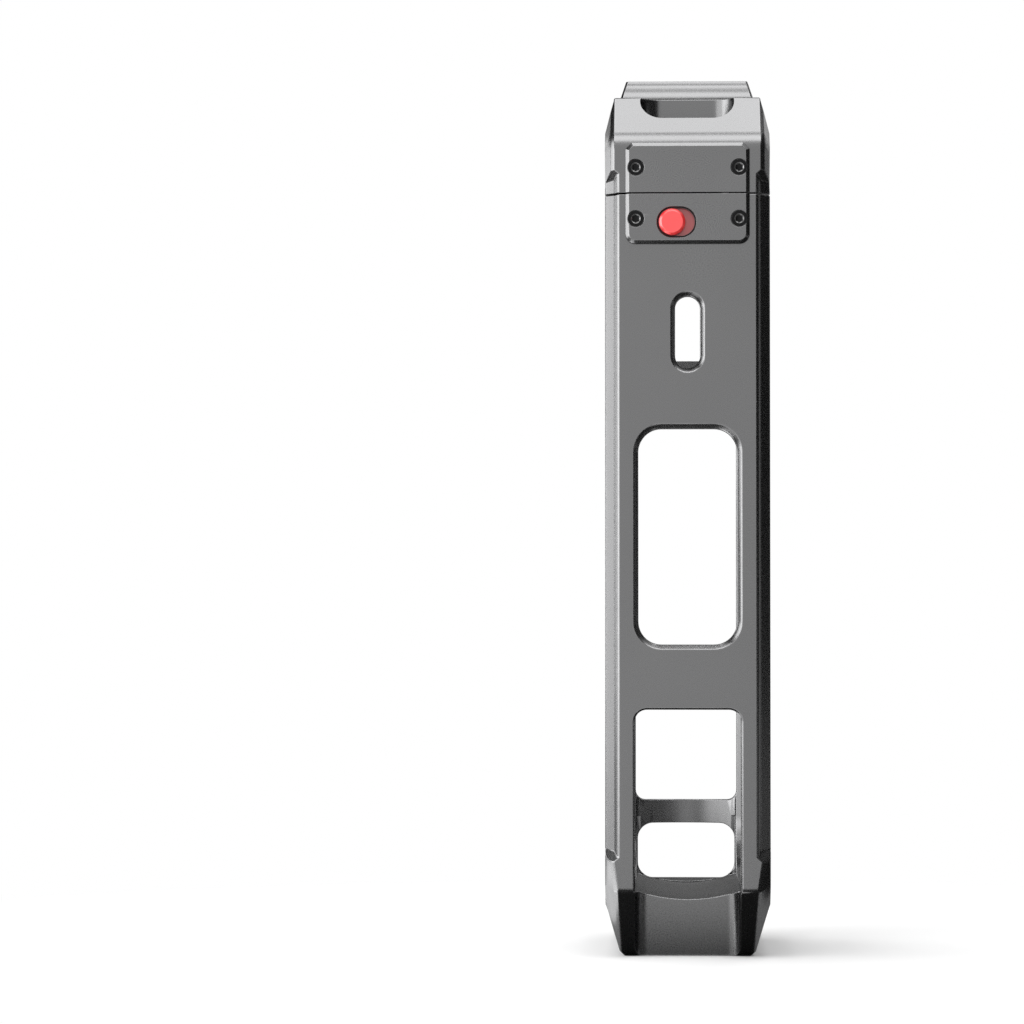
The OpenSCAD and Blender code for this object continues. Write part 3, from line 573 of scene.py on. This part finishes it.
class CAGE_OT_frames(PieceOperator, bpy.types.Operator):
    """Make the milled body and the cap"""
    bl_idname = "cage.frames"
    bl_label = "Body and cap"

    def make(self, finish):
        bm = merged_copy("body_frame")
        cut_thread(bm, finish)
        metal = anodised(finish)
        made = []
        cap = merged_copy("cap_frame")
        for shape, node, name in ((bm, "body_frame", "milled_body"), (cap, "cap_frame", "milled_cap")):
            round_outside(shape, finish)
            round_edges(shape, finish.frame_edge)
            made.append(finish_piece(shape, name, metal, body_of(node), [node]))
        return made


class CAGE_OT_top_shoe(PieceOperator, bpy.types.Operator):
    """Make the accessory shoe on the cap"""
    bl_idname = "cage.top_shoe"
    bl_label = "Top shoe"

    def make(self, finish):
        bm = merged_copy("top_shoe")
        chamfer(bm, shoe_ends(bm), finish.shoe_end, 1)
        round_edges(bm, finish.frame_edge / 2)
        return [finish_piece(bm, "accessory_shoe", anodised(finish),
                             body_of("top_shoe"), ["top_shoe"])]


class CAGE_OT_lock_plates(PieceOperator, bpy.types.Operator):
    """Make the two raised plates that cover the lock"""
    bl_idname = "cage.lock_plates"
    bl_label = "Lock plates"

    def make(self, finish):
        metal = anodised(finish)
        return [
            dressed("strike_cover", "upper_lock_plate", metal, finish.small_edge),
            dressed("latch_cover", "lower_lock_plate", metal, finish.small_edge),
        ]


class CAGE_OT_screws(PieceOperator, bpy.types.Operator):
    """Make the socket screws of the lock plates and of the top shoe"""
    bl_idname = "cage.screws"
    bl_label = "Socket screws"

    def make(self, finish):
        metal = black_screw(finish)
        pairs = [
            ("strike_cover_screws", "upper_plate_screws"),
            ("latch_cover_screws", "lower_plate_screws"),
        ]
        made = [dressed("top_shoe_screws", "shoe_screws", metal,
                        finish.small_edge / 2)]
        for node, name in pairs:
            bm = merged_copy(node)
            round_edges(bm, finish.small_edge / 2)
            # The socket cones get the lighter edge colour: a painted highlight, partly rubbing by the key
            lit_and_rubbed_mouths(bm)
            made.append(finish_piece(bm, name, metal, body_of(node), [node]))
        return made


class CAGE_OT_slide_lock(PieceOperator, bpy.types.Operator):
    """Make the red slide and its round button"""
    bl_idname = "cage.slide_lock"
    bl_label = "Slide lock"

    def make(self, finish):
        # Painted shade: the slide gets the darker red of the shadow in the slot, the button the lock's own red
        shaded_red = red_metal(finish, "shaded_slide_red", finish.slide)
        bright = red_metal(finish, "button_red", finish.red)
        return [
            dressed("lock_slider", "lock_slide", shaded_red, finish.small_edge),
            dressed("lock_button", "round_button", bright, finish.small_edge),
        ]


def slot_middle():
    """The middle of the button's travel, just off the wall under the lock plate."""
    spans = []
    for axis in range(3):
        places = [v.co[axis] for v in frame["nodes"]["lock_button"].data.vertices]
        spans.append((min(places), max(places)))
    wall = min(v.co.x for v in frame["nodes"]["latch_cover"].data.vertices)
    start = Vector((wall + SHADE_RING_GAP, sum(spans[1]) / 2, sum(spans[2]) / 2))
    return start + Vector(SLIDE["axis"]) * sum(SLIDE["range_m"]) / 2


class CAGE_OT_shadow_gap_liner(PieceOperator, bpy.types.Operator):
    """Make the thin black ring in the button's slot, a painted shadow of the gap round the button"""
    bl_idname = "cage.slot_liner"
    bl_label = "Shadow gap liner"

    def make(self, finish):
        middle = slot_middle()
        bm = bmesh.new()
        loops = [
            slot_outline(bm, finish.shade_ring_outside, finish.shade_ring_half),
            slot_outline(bm, finish.shade_ring_outside - finish.shade_ring_wall, finish.shade_ring_half),
        ]
        ring = bmesh.ops.bridge_loops(bm, edges=loops[0] + loops[1])
        wall = bmesh.ops.extrude_face_region(bm, geom=ring["faces"])
        raised = [g for g in wall["geom"] if isinstance(g, bmesh.types.BMVert)]
        bmesh.ops.translate(bm, verts=raised, vec=(finish.shade_ring_deep, 0, 0))
        bmesh.ops.translate(bm, verts=bm.verts, vec=middle)
        bmesh.ops.recalc_face_normals(bm, faces=bm.faces)
        round_edges(bm, finish.small_edge / 2)
        return [finish_piece(bm, "slot_liner", black_screw(finish), "frame", [])]


class CAGE_OT_lock_inside(PieceOperator, bpy.types.Operator):
    """Make the hook that the slide catches and the leaf that holds the slide"""
    bl_idname = "cage.lock_inside"
    bl_label = "Lock hook and click leaf"

    def make(self, finish):
        metal = plain_steel(finish)
        return [
            dressed("strike_hook", "lock_hook", metal, finish.small_edge),
            dressed("click_spring", "click_leaf", metal, finish.small_edge / 4),
        ]


class CAGE_OT_hinge(PieceOperator, bpy.types.Operator):
    """Make the hinge pin and the wound spring round it"""
    bl_idname = "cage.hinge"
    bl_label = "Hinge pin and spring"

    def make(self, finish):
        metal = plain_steel(finish)
        spring = wound_spring(
            radius=0.95 * MM, wire_radius=0.15 * MM, pitch=0.75 * MM, turns=3,
            stub=0.5 * MM, leg=1.1 * MM,
        )
        spring.faces.layers.float.new(EDGE)
        return [
            dressed("hinge_pin", "pin", metal, finish.small_edge),
            finish_piece(spring, "wound_spring", metal, "frame", ["hinge_spring"]),
        ]


class CAGE_OT_cap_pad(PieceOperator, bpy.types.Operator):
    """Make the soft pad in the cap's roof"""
    bl_idname = "cage.cap_pad"
    bl_label = "Cap pad"

    def make(self, finish):
        return [dressed("cap_pad", "roof_pad", soft_pad(finish), finish.frame_edge)]


# How far from the cage's middle the floor turns from matt to plain white
FLOOR_FADE = (0.05, 0.16)


def floor_material(tone):
    """Pale floor that keeps the shadow near the cage and is plain white further out."""
    material = bpy.data.materials.new("studio_floor")
    material.use_nodes = True
    tree = material.node_tree
    tree.nodes.clear()
    place = shader_node(tree, "ShaderNodeTexCoord").outputs["Object"]
    away = shader_node(
        tree, "ShaderNodeVectorMath", {0: place}, operation="LENGTH").outputs["Value"]
    near = shader_node(
        tree, "ShaderNodeMapRange",
        {"Value": away, "From Min": FLOOR_FADE[0], "From Max": FLOOR_FADE[1],
         "To Min": 1.0, "To Max": 0.0},
        interpolation_type="SMOOTHSTEP",
    ).outputs["Result"]
    paths = shader_node(tree, "ShaderNodeLightPath")
    seen = seen_plainly(tree, paths)
    white = maths(tree, "MULTIPLY", maths(tree, "SUBTRACT", 1.0, near), seen)
    matt = shader_node(tree, "ShaderNodeBsdfDiffuse", {"Color": (*tone, 1)})
    plain = shader_node(tree, "ShaderNodeEmission", {"Color": (1, 1, 1, 1), "Strength": 1.0})
    both = shader_node(
        tree, "ShaderNodeMixShader",
        {0: white, 1: matt.outputs[0], 2: plain.outputs[0]},
    )
    out = shader_node(tree, "ShaderNodeOutputMaterial")
    wire(tree, both.outputs[0], out.inputs["Surface"])
    return material


def seen_plainly(tree, paths):
    """One for a ray from the camera or from a reflection, and zero for a ray that lights things."""
    rays = [paths.outputs[n] for n in ("Is Camera Ray", "Is Glossy Ray", "Is Transmission Ray")]
    return maths(tree, "MAXIMUM", maths(tree, "MAXIMUM", rays[0], rays[1]), rays[2])


def card(name, width, height, place, facing, material):
    """A flat card whose face looks along facing."""
    bm = bmesh.new()
    bmesh.ops.create_grid(bm, x_segments=1, y_segments=1, size=0.5)
    turn = Vector(facing).to_track_quat("Z", "Y").to_matrix().to_4x4()
    bmesh.ops.transform(
        bm, verts=bm.verts,
        matrix=Matrix.Translation(place) @ turn @ Matrix.Diagonal((width, height, 1, 1)),
    )
    mesh = bpy.data.meshes.new(name)
    bm.to_mesh(mesh)
    bm.free()
    made = bpy.data.objects.new(name, mesh)
    mesh.materials.append(material)
    bpy.context.scene.collection.objects.link(made)
    return made


def towards(azimuth, elevation):
    """Direction at an azimuth from +X towards +Y and an elevation, both in degrees."""
    turn, rise = math.radians(azimuth), math.radians(elevation)
    flat = math.cos(rise)
    return Vector((flat * math.cos(turn), flat * math.sin(turn), math.sin(rise)))


def soft_lamp(name, shown, width, height, azimuth, elevation, distance):
    """A soft lamp that shows its brightness in a reflection, and looks at the cage's middle."""
    data = bpy.data.lights.new(name, "AREA")
    data.shape = "RECTANGLE"
    data.size, data.size_y = width, height
    data.energy = shown * math.pi * width * height
    lamp = bpy.data.objects.new(name, data)
    away = towards(azimuth, elevation)
    lamp.location = MIDDLE + distance * away
    lamp.rotation_euler = (-away).to_track_quat("-Z", "Y").to_euler()
    lamp.visible_camera = False
    bpy.context.scene.collection.objects.link(lamp)
    return lamp


def black_flag(name, width, height, place, facing, material):
    """A black card that only reflections show."""
    flag = card(name, width, height, place, facing, material)
    flag.visible_camera = False
    flag.visible_shadow = False
    flag.visible_diffuse = False
    return flag


def flag_material():
    material = bpy.data.materials.new("black_flag")
    material.use_nodes = True
    shader = material.node_tree.nodes["Principled BSDF"]
    shader.inputs["Base Color"].default_value = (0.03, 0.03, 0.03, 1)
    shader.inputs["Roughness"].default_value = 1.0
    shader.inputs["Specular IOR Level"].default_value = 0.0
    return material


# The black cards: name, width, height, azimuth, elevation and distance from the cage's middle
FLAGS = (
    ("side_flag", 0.47, 0.33, 95, 18.5, 0.32),
    ("front_flag", 0.25, 0.34, 38, 18.5, 0.36),
    ("far_flag", 0.3, 0.14, -133, 34, 0.34),
    ("low_flag", 0.2, 0.08, 180, -3.4, 0.4),
    ("high_flag", 0.26, 0.15, -88, 45, 0.35),
    ("near_flag", 0.3, 0.28, -50, 31, 0.7),
    ("hinge_flag", 1.0, 0.28, 180, 58, 0.7),
)


# The black cards on the floor: name, width along X, height along Y and place
FLOOR_FLAGS = (
    ("lock_floor_flag", 0.047, 0.06, (0.0413, 0, 0.05 * MM)),
    ("side_floor_flag", 0.4, 0.3, (0.05, 0.18, 0.05 * MM)),
    ("groove_floor_flag", 0.16, 0.09, (-0.01, -0.15, 0.05 * MM)),
)


# The soft lamps: name, brightness setting, width, height, azimuth, elevation and distance
LAMPS = (
    ("top_light", "top", 0.5, 0.344, 180, 81, 0.69),
    ("front_light", "front", 1.0, 0.384, 0, 59.5, 0.8),
    ("side_light", "side", 0.2, 0.3, -75, 13, 0.32),
    ("fill_light", "fill", 0.26, 0.2, -42, 6, 0.35),
    ("rim_light", "rim", 0.28, 0.16, -142, 6, 0.36),
    ("far_light", "far", 0.14, 0.4, 155, 17, 0.42),
    ("back_light", "back", 0.42, 0.9, 180, 20, 0.9),
)

# The lamp that lies on the floor and shines up: its width, height and place
LOW_LAMP_SIZE = (0.1, 0.08)
LOW_LAMP_PLACE = (-0.02, -0.06, 0.1 * MM)


class CAGE_OT_studio(bpy.types.Operator):
    """Set up the floor, the black cards, the lamps, the room light and the camera"""
    bl_idname = "cage.studio"
    bl_label = "Studio"
    bl_options = {"REGISTER", "UNDO"}

    def execute(self, context):
        studio = context.scene.cage_studio
        scene = context.scene
        floor = card("studio_floor", 6, 6, (0, 0, -0.02 * MM), (0, 0, 1),
                     floor_material(studio.floor))
        if not floor.data.polygons:
            raise RuntimeError("the floor is empty")
        black = flag_material()
        for name, width, height, azimuth, elevation, distance in FLAGS:
            away = towards(azimuth, elevation)
            black_flag(name, width, height, MIDDLE + distance * away, -away, black)
        for name, width, height, place in FLOOR_FLAGS:
            black_flag(name, width, height, place, (0, 0, 1), black)
        for name, setting, width, height, azimuth, elevation, distance in LAMPS:
            soft_lamp(name, getattr(studio, setting), width, height, azimuth, elevation, distance)
        low = soft_lamp("low_light", studio.low, *LOW_LAMP_SIZE, 0, 90, 0)
        low.location = LOW_LAMP_PLACE
        low.rotation_euler = (math.pi, 0, 0)

        world = bpy.data.worlds.new("studio_room")
        scene.world = world
        world.use_nodes = True
        tree = world.node_tree
        back = tree.nodes["Background"]
        back.inputs["Color"].default_value = (1, 1, 1, 1)
        paths = shader_node(tree, "ShaderNodeLightPath")
        level = shader_node(
            tree, "ShaderNodeMapRange",
            {"Value": seen_plainly(tree, paths), "To Min": studio.room, "To Max": 1.0},
        )
        wire(tree, level.outputs["Result"], back.inputs["Strength"])

        data = bpy.data.cameras.new("photo_camera")
        data.lens = studio.lens
        data.sensor_width = 36
        data.clip_start, data.clip_end = 0.01, 20
        camera = bpy.data.objects.new("photo_camera", data)
        camera.location = studio.eye
        ahead = Vector((-1, -math.tan(studio.swing), math.tan(studio.tilt)))
        camera.rotation_euler = ahead.to_track_quat("-Z", "Y").to_euler()
        scene.collection.objects.link(camera)
        scene.camera = camera
        scene.view_settings.view_transform = "Standard"
        return {"FINISHED"}


STEPS = (
    CAGE_OT_studio, CAGE_OT_frames, CAGE_OT_top_shoe, CAGE_OT_lock_plates, CAGE_OT_screws,
    CAGE_OT_slide_lock, CAGE_OT_shadow_gap_liner, CAGE_OT_lock_inside, CAGE_OT_hinge,
    CAGE_OT_cap_pad,
)


class CAGE_PT_panel(bpy.types.Panel):
    """Lists the cage's pieces and its studio"""
    bl_idname = "CAGE_PT_panel"
    bl_label = "Camera cage"
    bl_space_type = "VIEW_3D"
    bl_region_type = "UI"
    bl_category = "Camera cage"

    def draw(self, context):
        for group in (context.scene.cage_finish, context.scene.cage_studio):
            for name in group.__annotations__:
                self.layout.prop(group, name)
        for step in STEPS:
            self.layout.operator(step.bl_idname)


CLASSES = (CageFinish, CageStudio, *STEPS, CAGE_PT_panel)


def register():
    for cls in CLASSES:
        bpy.utils.register_class(cls)
    bpy.types.Scene.cage_finish = bpy.props.PointerProperty(type=CageFinish)
    bpy.types.Scene.cage_studio = bpy.props.PointerProperty(type=CageStudio)


def unregister():
    del bpy.types.Scene.cage_studio
    del bpy.types.Scene.cage_finish
    for cls in reversed(CLASSES):
        bpy.utils.unregister_class(cls)


def main():
    register()
    for step in STEPS:
        group, name = step.bl_idname.split(".")
        getattr(getattr(bpy.ops, group), name)()


if __name__ == "__main__":
    main()
